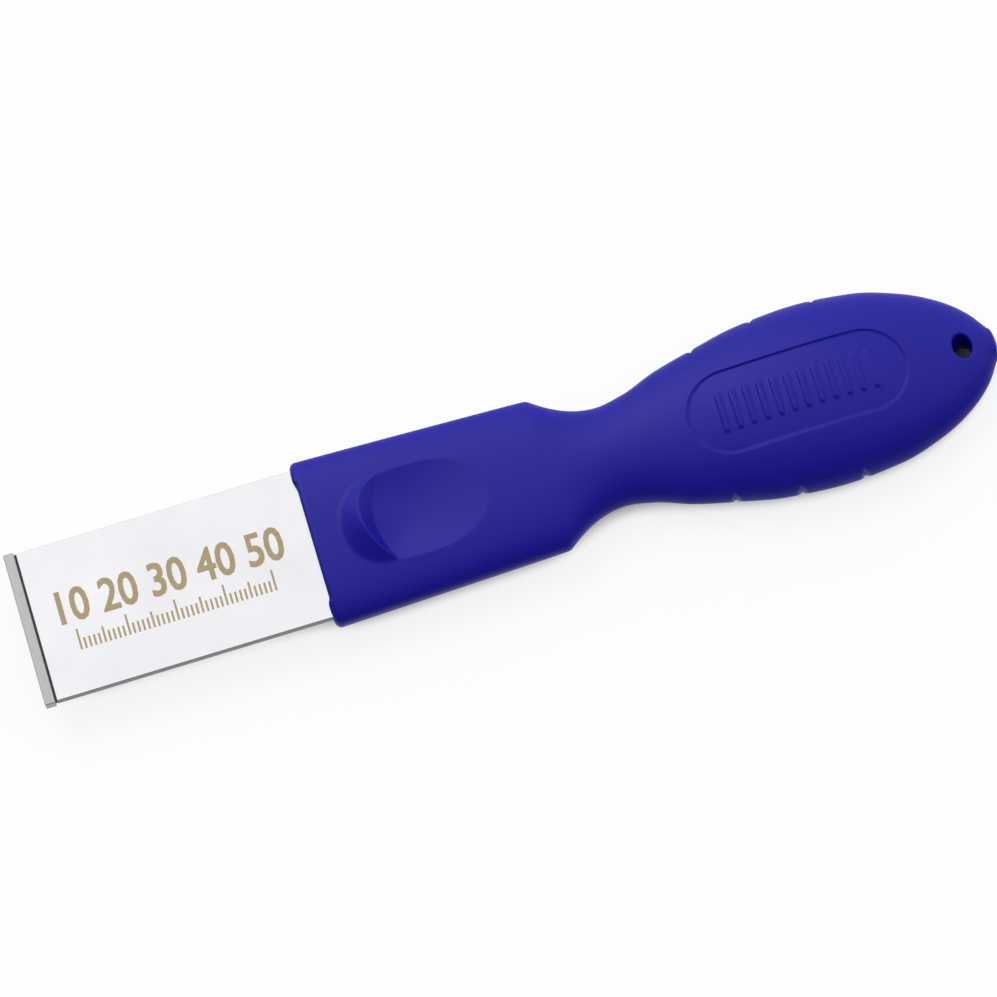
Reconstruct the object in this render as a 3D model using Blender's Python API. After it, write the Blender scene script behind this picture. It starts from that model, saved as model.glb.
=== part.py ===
"""Carbide gasket scraper, modelled at its real size.

A ground carbide bar is brazed across the front of a flat steel blade. The blade's tang is held
in a one-piece moulded handle, which has a broad sleeve, a waist and a leaf-shaped grip.

Metres, +Z up. X runs from the cutting edge to the end of the grip, and the blade lies level.
The flats under the handle stand on Z = 0, below the middle of the tool's length.
"""

import math

import bmesh
import bpy
import numpy as np
from mathutils import Matrix, Vector

MM = 0.001

# Blade and its hidden tang
blade_width = 31.75 * MM
blade_thickness = 2.0 * MM
blade_edge_break = 0.1 * MM
full_width_reach = 4.0 * MM
tang_length = 42.0 * MM
tang_step = 3.9 * MM
tang_corner = 5.0 * MM
lock_hole_count = 2
lock_hole_diameter = 6.0 * MM
lock_hole_spacing = 15.0 * MM
lock_hole_inset = 12.0 * MM

# Carbide tip, a little wider and thicker than the blade
tip_length = 2.1 * MM
tip_side_overhang = 0.32 * MM
tip_face_overhang = 0.3 * MM
tip_edge_break = 0.12 * MM

# Braze between the tip and the blade
braze_length = 0.4 * MM
braze_setback = 0.15 * MM

# Lengths along the tool: the blade from its edge, the handle from its mouth, and the grip's end
edge_to_mouth = 59.0 * MM
handle_length = 141.0 * MM
sleeve_length = 48.2 * MM
mouth_to_waist = 61.6 * MM
belly_to_end = 36.5 * MM
hole_to_end = 6.9 * MM

# Widths of the handle: its sides stand outside the blade at the mouth and narrow to the shoulder
mouth_wall = 1.75 * MM
shoulder_narrowing = 2.95 * MM
waist_width = 21.2 * MM
belly_width = 38.7 * MM
waist_radius = 14.9 * MM
shoulder_round = 0.35 * MM

# Heights of the handle, measured from the middle of the blade's thickness
rest_depth = 7.2 * MM
mouth_crown = 3.4 * MM
shoulder_crown = 3.6 * MM
waist_crown = 3.9 * MM
belly_crown = 6.0 * MM
hole_crown = 1.8 * MM
mouth_keel = 7.5 * MM
waist_keel = 6.6 * MM
belly_keel = 7.8 * MM
hole_keel = 7.3 * MM
mouth_drop = 0.5 * MM
waist_drop = 1.2 * MM
belly_drop = 1.8 * MM
nose_drop = 2.9 * MM

# Rounding of the handle's two ends
mouth_round_length = 1.4 * MM
mouth_round_side = 1.9 * MM
mouth_round_top = 0.5 * MM
nose_width = 7.0 * MM
nose_height = 5.4 * MM
nose_round = 0.9 * MM

# Details of the handle
pocket_clearance = 0.15 * MM
notch_inset = 3.1 * MM
notch_depth = 0.5 * MM
mouth_to_lip = 15.1 * MM
lip_reach = 8.3 * MM
lip_width = 18.6 * MM
lip_rise = 1.9 * MM
mouth_to_scoop = 23.7 * MM
scoop_front_reach = 12.4 * MM
scoop_rear_reach = 13.0 * MM
scoop_width = 17.7 * MM
scoop_depth = 1.0 * MM
panel_length = 44.7 * MM
panel_width = 17.4 * MM
panel_depth = 0.4 * MM
panel_before_belly = 4.1 * MM
nick_radius = 0.85 * MM
nick_depth = 1.05 * MM
nick_pitch = 12.9 * MM
nick_count = 3
last_nick_after_belly = 4.0 * MM
hang_hole_length = 3.9 * MM
hang_hole_width = 5.2 * MM

# How full the handle's section is: 2 is an ellipse and higher is squarer
mouth_fullness = 2.6
shoulder_fullness = 2.3
waist_fullness = 2.0
belly_fullness = 2.05
scoop_front_fullness = 2.7
oval_fullness = 2.0

# How upright the scoop's wall is: 2 is a plain dish, and higher is a flat floor with a steep wall
scoop_front_steepness = 16.0
scoop_side_steepness = 2.6

# Shares of the way from the waist to the belly, and of the growth in width there
swell_shares = [(0.0, 0.0), (0.13, 0.113), (0.3, 0.42), (0.5, 0.67), (0.72, 0.9), (1.0, 1.0)]
# Shares of the way from the belly to the nose, and of the narrowing there
tail_shares = [(0.0, 0.0), (0.33, 0.065), (0.6, 0.25), (0.78, 0.467), (0.92, 0.74), (1.0, 1.0)]
# Shares of the lip's reach from its middle, and of its rise there: the last lies inside the sleeve
lip_shares = [(0.0, 1.0), (0.3, 0.95), (0.5, 0.8), (0.65, 0.58), (0.8, 0.28), (0.92, 0.09), (1.1, -0.1)]
# Shares of the scoop's reach at which its rings lie: past 1 they stand above the sleeve
scoop_shares = [0.0, 0.25, 0.45, 0.6, 0.7, 0.78, 0.85, 0.91, 0.96, 1.0, 1.04, 1.08, 1.12]

# How far every cut runs on past the material
cut_overrun = 2.0 * MM

# How finely the curves are divided, and how sharp a turn stays an edge in the shading
ring_points = 48
round_steps = 40
end_steps = 4
section_gap = 3.2 * MM
corner_gap = 0.75 * MM
corner_reach = 2.5 * MM
nose_turn = math.radians(75)
sharp_turn = math.radians(22)

# Sizes and places worked out from the ones above
tip_width = blade_width + 2 * tip_side_overhang
tip_thickness = blade_thickness + 2 * tip_face_overhang
mouth_width = blade_width + 2 * mouth_wall
shoulder_width = mouth_width - shoulder_narrowing
overall_length = edge_to_mouth + handle_length
edge_x = -overall_length / 2
tip_back_x = edge_x + tip_length
blade_front_x = tip_back_x + braze_length
mouth_x = edge_x + edge_to_mouth
tang_start_x = mouth_x + full_width_reach
tang_end_x = mouth_x + tang_length
shoulder_x = mouth_x + sleeve_length
waist_x = mouth_x + mouth_to_waist
end_x = mouth_x + handle_length
belly_x = end_x - belly_to_end
hole_x = end_x - hole_to_end
nose_x = end_x - nose_round
blade_z = rest_depth


def clear_scene():
    for obj in list(bpy.data.objects):
        bpy.data.objects.remove(obj, do_unlink=True)


def material(name, colour, roughness, metallic):
    made = bpy.data.materials.new(name)
    made.use_nodes = True
    made.diffuse_color = (*colour, 1.0)
    shader = made.node_tree.nodes["Principled BSDF"]
    shader.inputs["Base Color"].default_value = (*colour, 1.0)
    shader.inputs["Roughness"].default_value = roughness
    shader.inputs["Metallic"].default_value = metallic
    return made


def object_from(bm, name):
    """A scene object that holds the finished bmesh, with its faces pointing out."""
    bmesh.ops.recalc_face_normals(bm, faces=bm.faces)
    mesh = bpy.data.meshes.new(name)
    bm.to_mesh(mesh)
    bm.free()
    obj = bpy.data.objects.new(name, mesh)
    bpy.context.scene.collection.objects.link(obj)
    return obj


def combine(target, tool, operation):
    """Cuts the tool from the target, or joins it to the target, and clears the tool away."""
    step = target.modifiers.new(tool.name, "BOOLEAN")
    step.operation = operation
    step.solver = "EXACT"
    step.object = tool
    shaped = target.evaluated_get(bpy.context.evaluated_depsgraph_get())
    mesh = bpy.data.meshes.new_from_object(shaped)
    target.modifiers.remove(step)
    target.data = mesh
    mesh.name = target.name
    bpy.data.objects.remove(tool, do_unlink=True)


def finish(obj, surface):
    obj.data.materials.clear()
    obj.data.materials.append(surface)
    obj.data.shade_smooth()
    obj.data.set_sharp_from_angle(angle=sharp_turn)


def box(name, x_range, y_range, z_range):
    bm = bmesh.new()
    bmesh.ops.create_cube(bm, size=1.0)
    low = Vector((x_range[0], y_range[0], z_range[0]))
    high = Vector((x_range[1], y_range[1], z_range[1]))
    for vert in bm.verts:
        for axis in range(3):
            vert.co[axis] = high[axis] if vert.co[axis] > 0 else low[axis]
    return object_from(bm, name)


def prism(name, outline, z_range):
    """An upright prism on a plan outline of (x, y) points."""
    bm = bmesh.new()
    base = bm.faces.new([bm.verts.new((x, y, z_range[0])) for x, y in outline])
    pulled = bmesh.ops.extrude_face_region(bm, geom=[base])
    lift = Vector((0.0, 0.0, z_range[1] - z_range[0]))
    bmesh.ops.translate(bm, verts=[v for v in pulled["geom"] if isinstance(v, bmesh.types.BMVert)], vec=lift)
    return object_from(bm, name)


def arc(centre, radius, first, last, steps):
    """Points along an arc in plan, from one angle to another in radians."""
    angles = np.linspace(first, last, steps + 1)
    return [(centre[0] + radius * math.cos(a), centre[1] + radius * math.sin(a)) for a in angles]


def smooth_curve(points):
    """A curve through rising places that never overshoots the values it passes."""
    places = np.array([place for place, _ in points])
    values = np.array([value for _, value in points])
    gaps = np.diff(places)
    rises = np.diff(values) / gaps
    slopes = np.zeros(len(places))
    for i in range(1, len(rises)):
        if rises[i - 1] * rises[i] > 0:
            before, after = 2 * gaps[i] + gaps[i - 1], gaps[i] + 2 * gaps[i - 1]
            slopes[i] = (before + after) / (before / rises[i - 1] + after / rises[i])
    slopes[-1] = rises[-1] if abs(rises[-1]) > abs(slopes[-2]) else 0.0

    def at(x):
        i = int(np.clip(np.searchsorted(places, x) - 1, 0, len(gaps) - 1))
        t = min(max((x - places[i]) / gaps[i], 0.0), 1.0)
        keep, slope_in, slope_out = (1 + 2 * t) * (1 - t) ** 2, t * (1 - t) ** 2, t * t * (t - 1)
        return (
            values[i] * keep
            + values[i + 1] * (1 - keep)
            + gaps[i] * (slopes[i] * slope_in + slopes[i + 1] * slope_out)
        )

    return at


def between(start, end, share):
    return start + (end - start) * share


waist_to_belly = smooth_curve(
    [(between(waist_x, belly_x, x), between(waist_width, belly_width, w) / 2) for x, w in swell_shares]
)
belly_to_nose = smooth_curve(
    [(between(belly_x, nose_x, x), between(belly_width, nose_width, w) / 2) for x, w in tail_shares]
)
crown_curve = smooth_curve(
    [
        (mouth_x, mouth_crown),
        (shoulder_x, shoulder_crown),
        (waist_x, waist_crown),
        (belly_x, belly_crown),
        (hole_x, hole_crown),
        (nose_x, nose_height / 2 - nose_drop),
    ]
)
keel_curve = smooth_curve(
    [
        (mouth_x, mouth_keel),
        (shoulder_x, mouth_keel),
        (waist_x, waist_keel),
        (belly_x, belly_keel),
        (hole_x, hole_keel),
        (nose_x, nose_height / 2 + nose_drop),
    ]
)
drop_curve = smooth_curve(
    [(mouth_x, mouth_drop), (waist_x, waist_drop), (belly_x, belly_drop), (nose_x, nose_drop)]
)
fullness_curve = smooth_curve(
    [
        (mouth_x, mouth_fullness),
        (shoulder_x, shoulder_fullness),
        (waist_x, waist_fullness),
        (belly_x, belly_fullness),
        (nose_x, waist_fullness),
    ]
)


def half_width(x):
    """Half the handle's width in plan: a tapering sleeve, a waist, and a leaf-shaped grip."""
    if x >= belly_x:
        return belly_to_nose(x)
    if x >= waist_x:
        return waist_to_belly(x)
    taper = between(mouth_width, shoulder_width, (x - mouth_x) / sleeve_length) / 2
    waist = waist_width / 2 + (waist_x - x) ** 2 / (2 * waist_radius)
    gap = taper - waist
    return (taper + waist - math.hypot(gap, shoulder_round)) / 2


def mouth_inset(x):
    """How far into the rounding of the mouth a place lies: 1 at the mouth and 0 past the rounding."""
    reach = 1 - (x - mouth_x) / mouth_round_length
    return 1 - math.sqrt(1 - min(max(reach, 0.0), 1.0) ** 2)


def section_ring(x, scale=1.0):
    """The handle's outline across its length, as points round the widest line."""
    inset = mouth_inset(x)
    middle = blade_z - drop_curve(x)
    side = half_width(x) - mouth_round_side * inset
    above = crown_curve(x) + drop_curve(x) - mouth_round_top * inset
    below = keel_curve(x) - drop_curve(x) - mouth_round_top * inset
    power = 2 / fullness_curve(x)
    ring = []
    for step in range(ring_points):
        angle = math.tau * step / ring_points
        across, up = math.cos(angle), math.sin(angle)
        y = side * math.copysign(abs(across) ** power, across)
        z = (above if up > 0 else below) * math.copysign(abs(up) ** power, up)
        ring.append(Vector((x, y * scale, middle + z * scale)))
    return ring


def handle_places():
    """Where the handle's sections are taken: close together where the outline turns."""
    turns = np.linspace(0.0, math.pi / 2, end_steps + 1)
    places = [mouth_x + mouth_round_length * (1 - math.cos(turn)) for turn in turns]
    stretches = [
        (shoulder_x - corner_reach, section_gap),
        (shoulder_x + corner_reach, corner_gap),
        (waist_x, section_gap / 2),
        (belly_x, section_gap),
        (hole_x, section_gap),
        (nose_x, section_gap / 2),
    ]
    for end, gap in stretches:
        count = math.ceil((end - places[-1]) / gap)
        places += list(np.linspace(places[-1], end, count + 1)[1:])
    return places


def handle_body(name):
    """The handle as one smooth body: sections bridged along the tool, with flats cut under it."""
    rings = [section_ring(x) for x in handle_places()]
    for angle in np.linspace(0.0, nose_turn, end_steps + 1)[1:]:
        reach = math.sin(angle) / math.sin(nose_turn)
        ring = section_ring(nose_x, math.cos(angle))
        rings.append([point + Vector((nose_round * reach, 0.0, 0.0)) for point in ring])
    bm = bmesh.new()
    loops = [[bm.verts.new(point) for point in ring] for ring in rings]
    for near, far in zip(loops, loops[1:]):
        for i in range(ring_points):
            j = (i + 1) % ring_points
            bm.faces.new((near[i], near[j], far[j], far[i]))
    bm.faces.new(loops[0])
    bm.faces.new(loops[-1])
    cut = bmesh.ops.bisect_plane(
        bm,
        geom=bm.verts[:] + bm.edges[:] + bm.faces[:],
        plane_co=(0.0, 0.0, 0.0),
        plane_no=(0.0, 0.0, -1.0),
        clear_outer=True,
    )
    rims = [item for item in cut["geom_cut"] if isinstance(item, bmesh.types.BMEdge)]
    bmesh.ops.holes_fill(bm, edges=rims, sides=0)
    return object_from(bm, name)


def blade_outline(margin):
    """The blade's plan from its front to the end of its narrower tang, grown by a margin all round."""
    side = blade_width / 2 + margin
    tang_side = side - tang_step
    step = tang_start_x + margin
    back = tang_end_x + margin
    half = [
        (blade_front_x - margin, side),
        (step, side),
        (step + tang_step, tang_side),
        (back - tang_corner, tang_side),
        (back, tang_side - tang_corner),
    ]
    return half + [(x, -y) for x, y in reversed(half)]


def lock_holes(name, radius, z_range):
    """Round bars through the tang's lock holes, one object for each."""
    first = mouth_x + lock_hole_inset
    bars = []
    for i in range(lock_hole_count):
        centre = (first + i * lock_hole_spacing, 0.0)
        outline = arc(centre, radius, 0.0, math.tau, round_steps)[:-1]
        bars.append(prism(f"{name}_{i + 1}", outline, z_range))
    return bars


def break_edges(obj, width):
    """Takes the sharpness off every edge of a plain block or plate."""
    bm = bmesh.new()
    bm.from_mesh(obj.data)
    bmesh.ops.bevel(bm, geom=bm.edges[:], offset=width, segments=1, affect="EDGES", profile=0.5)
    bm.to_mesh(obj.data)
    bm.free()


def carbide_tip():
    bar = box(
        "carbide_tip",
        (edge_x, tip_back_x),
        (-tip_width / 2, tip_width / 2),
        (blade_z - tip_thickness / 2, blade_z + tip_thickness / 2),
    )
    break_edges(bar, tip_edge_break)
    return bar


def braze_joint():
    side = blade_width / 2 - braze_setback
    rise = blade_thickness / 2 - braze_setback
    return box(
        "braze_joint", (tip_back_x, blade_front_x), (-side, side), (blade_z - rise, blade_z + rise)
    )


def blade():
    half = blade_thickness / 2
    plate = prism("blade", blade_outline(0.0), (blade_z - half, blade_z + half))
    break_edges(plate, blade_edge_break)
    through = (blade_z - half - cut_overrun, blade_z + half + cut_overrun)
    for bar in lock_holes("lock_hole", lock_hole_diameter / 2, through):
        combine(plate, bar, "DIFFERENCE")
    return plate


def blade_pocket():
    """The space that the tang fills, with posts of the handle left standing in its lock holes."""
    half = blade_thickness / 2 + pocket_clearance
    space = prism("blade_pocket", blade_outline(pocket_clearance), (blade_z - half, blade_z + half))
    through = (blade_z - half - cut_overrun, blade_z + half + cut_overrun)
    for bar in lock_holes("lock_post", lock_hole_diameter / 2 - pocket_clearance, through):
        combine(space, bar, "DIFFERENCE")
    return space


def mouth_notch():
    """The middle of the mouth stands back from its two corners."""
    tall = max(mouth_crown, mouth_keel) + cut_overrun
    side = blade_width / 2 - notch_inset
    return box(
        "mouth_notch",
        (mouth_x - cut_overrun, mouth_x + notch_depth),
        (-side, side),
        (blade_z - tall, blade_z + tall),
    )


def top_height(x, y):
    """The height of the handle's upper side at a place in plan."""
    power = fullness_curve(x)
    rise = (1 - abs(y / half_width(x)) ** power) ** (1 / power)
    return blade_z - drop_curve(x) + (crown_curve(x) + drop_curve(x)) * rise


def oval_ring(centre_x, oval, share):
    """Points round an oval at a share of its reach, each with how far it points to the front.

    The oval gives the reach to the front, to the rear and to the side, and how full its front is.
    """
    front_reach, rear_reach, side_reach, front_fullness = oval
    ring = []
    for step in range(round_steps):
        angle = math.tau * (step + 0.5) / round_steps
        ahead, across = math.cos(angle), math.sin(angle)
        reach, fullness = (front_reach, front_fullness) if ahead > 0 else (rear_reach, oval_fullness)
        x = centre_x - share * reach * math.copysign(abs(ahead) ** (2 / fullness), ahead)
        y = share * side_reach * math.copysign(abs(across) ** (2 / fullness), across)
        ring.append((x, y, max(ahead, 0.0)))
    return ring


def oval_body(name, centre_x, oval, shares, height, cap_z):
    """A body on oval rings at heights above the sleeve, closed by a flat cap."""
    bm = bmesh.new()
    loops = []
    for share in shares[1:]:
        ring = oval_ring(centre_x, oval, share)
        loops.append([bm.verts.new((x, y, top_height(x, y) + height(share, ahead))) for x, y, ahead in ring])
    loops.append([bm.verts.new((vert.co.x, vert.co.y, cap_z)) for vert in loops[-1]])
    middle = bm.verts.new((centre_x, 0.0, top_height(centre_x, 0.0) + height(shares[0], 0.0)))
    for i in range(round_steps):
        j = (i + 1) % round_steps
        bm.faces.new((middle, loops[0][i], loops[0][j]))
        for near, far in zip(loops, loops[1:]):
            bm.faces.new((near[i], far[i], far[j], near[j]))
    bm.faces.new(loops[-1])
    return object_from(bm, name)


def thumb_lip():
    """A low swelling on the sleeve, which the scoop behind it leaves as a crescent."""
    rises = dict(lip_shares)

    def height(share, ahead):
        return lip_rise * rises[share]

    oval = (lip_reach, lip_reach, lip_width / 2, oval_fullness)
    base_z = blade_z + blade_thickness
    return oval_body("thumb_lip", mouth_x + mouth_to_lip, oval, list(rises), height, base_z)


def thumb_scoop():
    """The oval hollow for the thumb, with a steep wall under the lip and a gentle rim elsewhere."""

    def height(share, ahead):
        steepness = between(scoop_side_steepness, scoop_front_steepness, ahead * ahead)
        return scoop_depth * (share ** steepness - 1)

    oval = (scoop_front_reach, scoop_rear_reach, scoop_width / 2, scoop_front_fullness)
    cap_z = blade_z + shoulder_crown + 2 * lip_rise + cut_overrun
    return oval_body("thumb_scoop", mouth_x + mouth_to_scoop, oval, scoop_shares, height, cap_z)


def grip_panel(body_copy):
    """The round-ended recess on the grip, whose floor follows the crown of the body copy."""
    radius = panel_width / 2
    reach = panel_length / 2 - radius
    centre = belly_x - panel_before_belly
    outline = arc((centre + reach, 0.0), radius, -math.pi / 2, math.pi / 2, round_steps // 2)
    outline += arc((centre - reach, 0.0), radius, math.pi / 2, 3 * math.pi / 2, round_steps // 2)
    recess = prism("grip_panel", outline, (blade_z, blade_z + belly_crown + cut_overrun))
    body_copy.data.transform(Matrix.Translation((0.0, 0.0, -panel_depth)))
    combine(recess, body_copy, "DIFFERENCE")
    return recess


def grip_nicks():
    """Small upright grooves across both edges of the grip."""
    tall = belly_keel + belly_crown
    bars = []
    for side in (-1, 1):
        for i in range(nick_count):
            x = belly_x + last_nick_after_belly - i * nick_pitch
            y = side * (half_width(x) + nick_radius - nick_depth)
            outline = arc((x, y), nick_radius, 0.0, math.tau, round_steps // 2)[:-1]
            bars.append(prism(f"grip_nick_{len(bars) + 1}", outline, (blade_z - tall, blade_z + tall)))
    return bars


def hang_hole():
    """An oval bar through the end of the grip, wider across the tool than along it."""
    turns = np.linspace(0.0, math.tau, round_steps + 1)[:-1]
    half_length, half_width_across = hang_hole_length / 2, hang_hole_width / 2
    outline = [(hole_x + half_length * math.cos(t), half_width_across * math.sin(t)) for t in turns]
    return prism("hang_hole", outline, (-cut_overrun, blade_z + belly_crown + cut_overrun))


def handle():
    body = handle_body("handle")
    combine(body, thumb_lip(), "UNION")
    cuts = [thumb_scoop(), blade_pocket(), mouth_notch(), hang_hole()]
    cuts.append(grip_panel(handle_body("panel_floor")))
    cuts += grip_nicks()
    for cutter in cuts:
        combine(body, cutter, "DIFFERENCE")
    return body


def main():
    clear_scene()
    carbide = material("Ground tungsten carbide", (0.50, 0.50, 0.50), 0.45, 1.0)
    solder = material("Silver braze", (0.20, 0.19, 0.17), 0.5, 1.0)
    steel = material("Polished spring steel", (0.85, 0.85, 0.87), 0.25, 1.0)
    plastic = material("Blue moulded polypropylene", (0.032, 0.031, 0.34), 0.42, 0.0)
    finish(carbide_tip(), carbide)
    finish(braze_joint(), solder)
    finish(blade(), steel)
    finish(handle(), plastic)


main()
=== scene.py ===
# %% [markdown]
# # A carbide gasket scraper
#
# This tool has four pieces: a carbide cutting bar, the braze that holds it, a flat steel blade and a
# one-piece moulded handle. The measured solids are loaded first and never move. Each step below
# gives one piece its finish, or builds a finer form in the same place.

# %% Load the measured solids
import math

import bmesh
import bpy
import numpy as np
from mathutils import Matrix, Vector, kdtree
from mathutils.geometry import delaunay_2d_cdt


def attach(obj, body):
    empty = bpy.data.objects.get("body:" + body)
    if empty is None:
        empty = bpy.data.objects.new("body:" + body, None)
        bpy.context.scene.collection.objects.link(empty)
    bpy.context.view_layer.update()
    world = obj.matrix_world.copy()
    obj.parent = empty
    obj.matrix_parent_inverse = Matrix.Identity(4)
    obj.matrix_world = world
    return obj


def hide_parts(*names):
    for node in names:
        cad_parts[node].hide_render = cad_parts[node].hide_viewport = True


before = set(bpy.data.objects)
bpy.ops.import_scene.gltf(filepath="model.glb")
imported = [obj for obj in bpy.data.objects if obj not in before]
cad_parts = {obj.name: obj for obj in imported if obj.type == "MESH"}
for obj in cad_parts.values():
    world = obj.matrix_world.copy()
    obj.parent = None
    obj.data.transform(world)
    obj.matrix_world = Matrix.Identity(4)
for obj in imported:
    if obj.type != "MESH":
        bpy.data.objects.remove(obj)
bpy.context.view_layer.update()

MM = 0.001
print("solids:", sorted(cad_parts))

# %% [markdown]
# ## Colour and the picture's settings
#
# A colour is easiest to read as the hex value that a picture editor shows, but Blender's shaders
# work in linear light. One function turns the first into the second. The Standard view transform
# shows a colour as it is written, where a film-like one would change it.

# %% Colours and view settings
def hex_colour(code):
    """The linear colour of an sRGB hex value such as 3a7bd5."""
    shares = [int(code[i : i + 2], 16) / 255 for i in (0, 2, 4)]
    linear = [s / 12.92 if s <= 0.04045 else ((s + 0.055) / 1.055) ** 2.4 for s in shares]
    return (*linear, 1.0)


scene = bpy.context.scene
scene.view_settings.view_transform = "Standard"
print("mid grey in linear light:", round(hex_colour("808080")[0], 3))

# %% [markdown]
# ## The camera
#
# A long lens from well back flattens the tool as a catalogue picture does. The camera looks down
# from 71 degrees above the floor, a little to the left of square on, and is rolled so that the tool
# rises to the right. The sensor is 36 mm wide and the picture is square. The camera's place and what
# it can see are in metres, and its turns are in degrees.

# %% Camera
SENSOR_WIDTH, FOCAL_LENGTH = 36.0, 304.87
NEAREST_SEEN, FARTHEST_SEEN = 0.1, 20.0
CAMERA_PLACE = (-0.012421, -0.538527, 1.582084)
CAMERA_TURN = (18.14673, 5.06704, -16.08655)


def add_object(name, data):
    """A new object in the scene that shows the data: a mesh, a text, a lamp or a camera."""
    made = bpy.data.objects.new(name, data)
    scene.collection.objects.link(made)
    return made


camera_data = bpy.data.cameras.new("camera")
camera_data.sensor_width = SENSOR_WIDTH
camera_data.lens = FOCAL_LENGTH
camera_data.clip_start, camera_data.clip_end = NEAREST_SEEN, FARTHEST_SEEN
camera = add_object("camera", camera_data)
camera.location = CAMERA_PLACE
camera.rotation_euler = [math.radians(angle) for angle in CAMERA_TURN]
scene.camera = camera
print("camera stands", round(camera.location.length, 2), "m from the tool")

# %% [markdown]
# ## Nodes
#
# Every finish below is a small tree of shader nodes. One function adds a node, sets its properties
# and its unlinked sockets, and links the rest, so that each step of a recipe reads as one node. A
# noise pattern is set by its scale, so another function works that out from a size in millimetres.

# %% Adding a node
def add_node(tree, kind, values=None, links=None, **settings):
    """Adds a node: settings are its properties, values its sockets, links what feeds each socket."""
    node = tree.nodes.new(kind)
    for name, value in settings.items():
        setattr(node, name, value)
    for name, value in (values or {}).items():
        node.inputs[name].default_value = value
    for name, source in (links or {}).items():
        tree.links.new(source, node.inputs[name])
    return node


def new_material(name):
    """An empty material with its node tree and its output node."""
    made = bpy.data.materials.new(name)
    made.use_nodes = True
    made.node_tree.nodes.clear()
    return made, made.node_tree, made.node_tree.nodes.new("ShaderNodeOutputMaterial")


def repeats(size):
    """The scale at which a pattern changes about once in so many mm."""
    return 1 / (size * MM)


print("a pattern of 1 mm has a scale of", round(repeats(1.0)))

# %% [markdown]
# ## The floor
#
# The tool lies on a floor 8 m wide, which is 0.2 mm below the handle's flats so that the two never
# share a surface. It is painted white. The camera and the metal see the paint mostly by its own glow,
# so that it stays as white as the page of a catalogue. Ambient Occlusion, which measures how shut in
# a place is, fades that light where the tool stands close, as at the bottom of the hang hole. The
# rest of the paint is plain and matt, and keeps a soft shadow.

# %% Floor
FLOOR_HALF, FLOOR_DROP = 4.0, 0.2
corners = [(-FLOOR_HALF, -FLOOR_HALF, 0), (FLOOR_HALF, -FLOOR_HALF, 0)]
corners += [(FLOOR_HALF, FLOOR_HALF, 0), (-FLOOR_HALF, FLOOR_HALF, 0)]
floor_mesh = bpy.data.meshes.new("floor")
floor_mesh.from_pydata(corners, [], [(0, 1, 2, 3)])
floor = add_object("floor", floor_mesh)
floor.location.z = -FLOOR_DROP * MM
print("floor is", 2 * FLOOR_HALF, "m wide")

# %% White paint for the floor
SHUT_IN_REACH, SHUT_IN, OPEN = 14.0, 0.18, 0.5
GLOW_STRENGTH, GLOW_SHARE = 1.04, 0.82


def seen_directly(tree):
    """The socket that is 1 for what the camera, a mirror or glass shows, and 0 for stray light."""
    rays = add_node(tree, "ShaderNodeLightPath")
    total = rays.outputs["Is Camera Ray"]
    for name in ("Is Glossy Ray", "Is Transmission Ray"):
        links = {0: total, 1: rays.outputs[name]}
        adding = add_node(tree, "ShaderNodeMath", None, links, operation="ADD", use_clamp=True)
        total = adding.outputs[0]
    return total


paint, tree, out = new_material("White studio paint")
matt = add_node(tree, "ShaderNodeBsdfDiffuse", {"Color": hex_colour("f2f2f2")})
openness = add_node(tree, "ShaderNodeAmbientOcclusion", {"Distance": SHUT_IN_REACH * MM}, samples=16)
open_place = add_node(
    tree, "ShaderNodeMapRange", {"From Min": SHUT_IN, "From Max": OPEN}, {"Value": openness.outputs["AO"]}
)
strength = add_node(
    tree, "ShaderNodeMath", {1: GLOW_STRENGTH}, {0: open_place.outputs[0]}, operation="MULTIPLY"
)
glow = add_node(
    tree, "ShaderNodeEmission", {"Color": hex_colour("ffffff")}, {"Strength": strength.outputs[0]}
)
share = add_node(tree, "ShaderNodeMath", {1: GLOW_SHARE}, {0: seen_directly(tree)}, operation="MULTIPLY")
both = add_node(
    tree, "ShaderNodeMixShader", None, {0: share.outputs[0], 1: matt.outputs[0], 2: glow.outputs[0]}
)
tree.links.new(both.outputs[0], out.inputs["Surface"])
floor_mesh.materials.append(paint)
print("the paint glows with", round(GLOW_STRENGTH * GLOW_SHARE, 2), "of full white")

# %% [markdown]
# ## The light
#
# The far side of the handle is light and its near side is dark, so the light comes from beyond the
# tool. The room is bright beyond it and to its right, which gives the soft part of the light, and
# one softbox beyond it and to its left draws the crisper edges. The softbox stands clear of where
# the flat blade mirrors the camera, so the blade shows the even room and doesn't burn out. Together
# they light a level surface to about 1, at which a colour renders as it is written. The softbox's
# size and place are in metres.

# %% Room
BRIGHT_SIDE = (0.426, 0.8, 0.423)
room = bpy.data.worlds.new("room")
scene.world = room
room.use_nodes = True
tree = room.node_tree
tree.nodes.clear()
out = tree.nodes.new("ShaderNodeOutputWorld")
rays = add_node(tree, "ShaderNodeLightPath")
way = add_node(tree, "ShaderNodeTexCoord")
toward = add_node(
    tree, "ShaderNodeVectorMath", {1: BRIGHT_SIDE}, {0: way.outputs["Generated"]}, operation="DOT_PRODUCT"
)
level = add_node(
    tree, "ShaderNodeMapRange", {"From Min": 0.0, "From Max": 0.6, "To Min": 0.2, "To Max": 1.1},
    {"Value": toward.outputs["Value"]}, interpolation_type="SMOOTHSTEP",
)
plain = add_node(tree, "ShaderNodeBackground", {"Color": hex_colour("ffffff"), "Strength": 1.0})
studio = add_node(
    tree, "ShaderNodeBackground", {"Color": hex_colour("ffffff")}, {"Strength": level.outputs[0]}
)
both = add_node(
    tree, "ShaderNodeMixShader", None,
    {0: rays.outputs["Is Camera Ray"], 1: studio.outputs[0], 2: plain.outputs[0]},
)
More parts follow.
